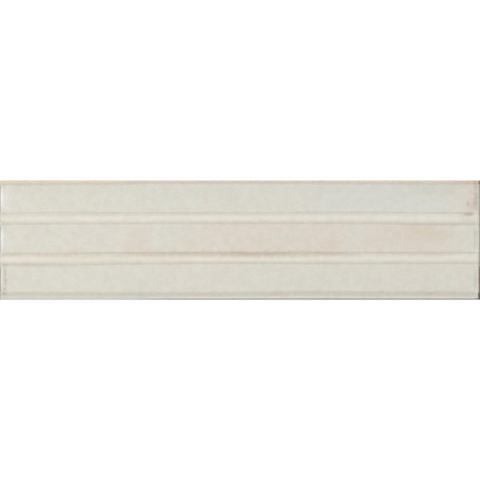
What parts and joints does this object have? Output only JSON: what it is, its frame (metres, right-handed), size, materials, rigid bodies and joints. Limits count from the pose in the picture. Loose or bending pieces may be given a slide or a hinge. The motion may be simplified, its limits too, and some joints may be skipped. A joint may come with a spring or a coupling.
{
  "type": "relief wall tile",
  "caption": "Long glazed wall tile with flat sunk panels between raised round ribs, low rims on all edges and a keyed back.",
  "frame": {"origin": "centre of the bed plane under the tile, midway between the ends and between the long edges", "axes": "+X along the tile, +Y across it towards the edge with the narrow rim, +Z out of the glazed face"},
  "size_m": [0.3, 0.0746, 0.0092],
  "materials": {
    "glaze": "gloss"
  },
  "bodies": {
    "root": {"wall_tile": "glaze"}
  },
  "joints": []
}
